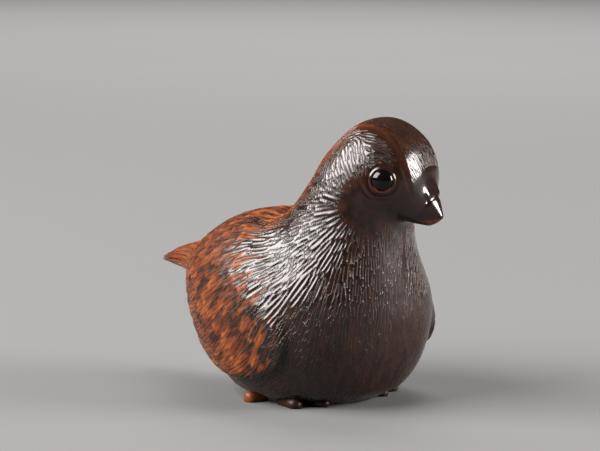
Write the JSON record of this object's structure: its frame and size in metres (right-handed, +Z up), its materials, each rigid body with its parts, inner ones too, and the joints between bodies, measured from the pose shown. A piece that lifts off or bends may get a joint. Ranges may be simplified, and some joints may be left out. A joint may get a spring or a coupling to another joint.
{
  "type": "netsuke",
  "caption": "Small carved wooden netsuke of a plump seated bird with its head turned, folded wings, pointed tail, inlaid horn eyes and a cord channel in its underside.",
  "frame": {"origin": "on the ground, under the middle of the bird's box", "axes": "+Z up, +X to the bird's front from tail to breast, +Y to its left"},
  "size_m": [0.0518, 0.0296, 0.0383],
  "materials": {
    "stained_wood": "stained dark brown over orange-brown wood, hand polished, finely engraved",
    "dark_horn": "polished near-black horn inlay"
  },
  "bodies": {
    "root": {"bird": "stained_wood", "eye_right": "dark_horn", "eye_left": "dark_horn"}
  },
  "joints": []
}
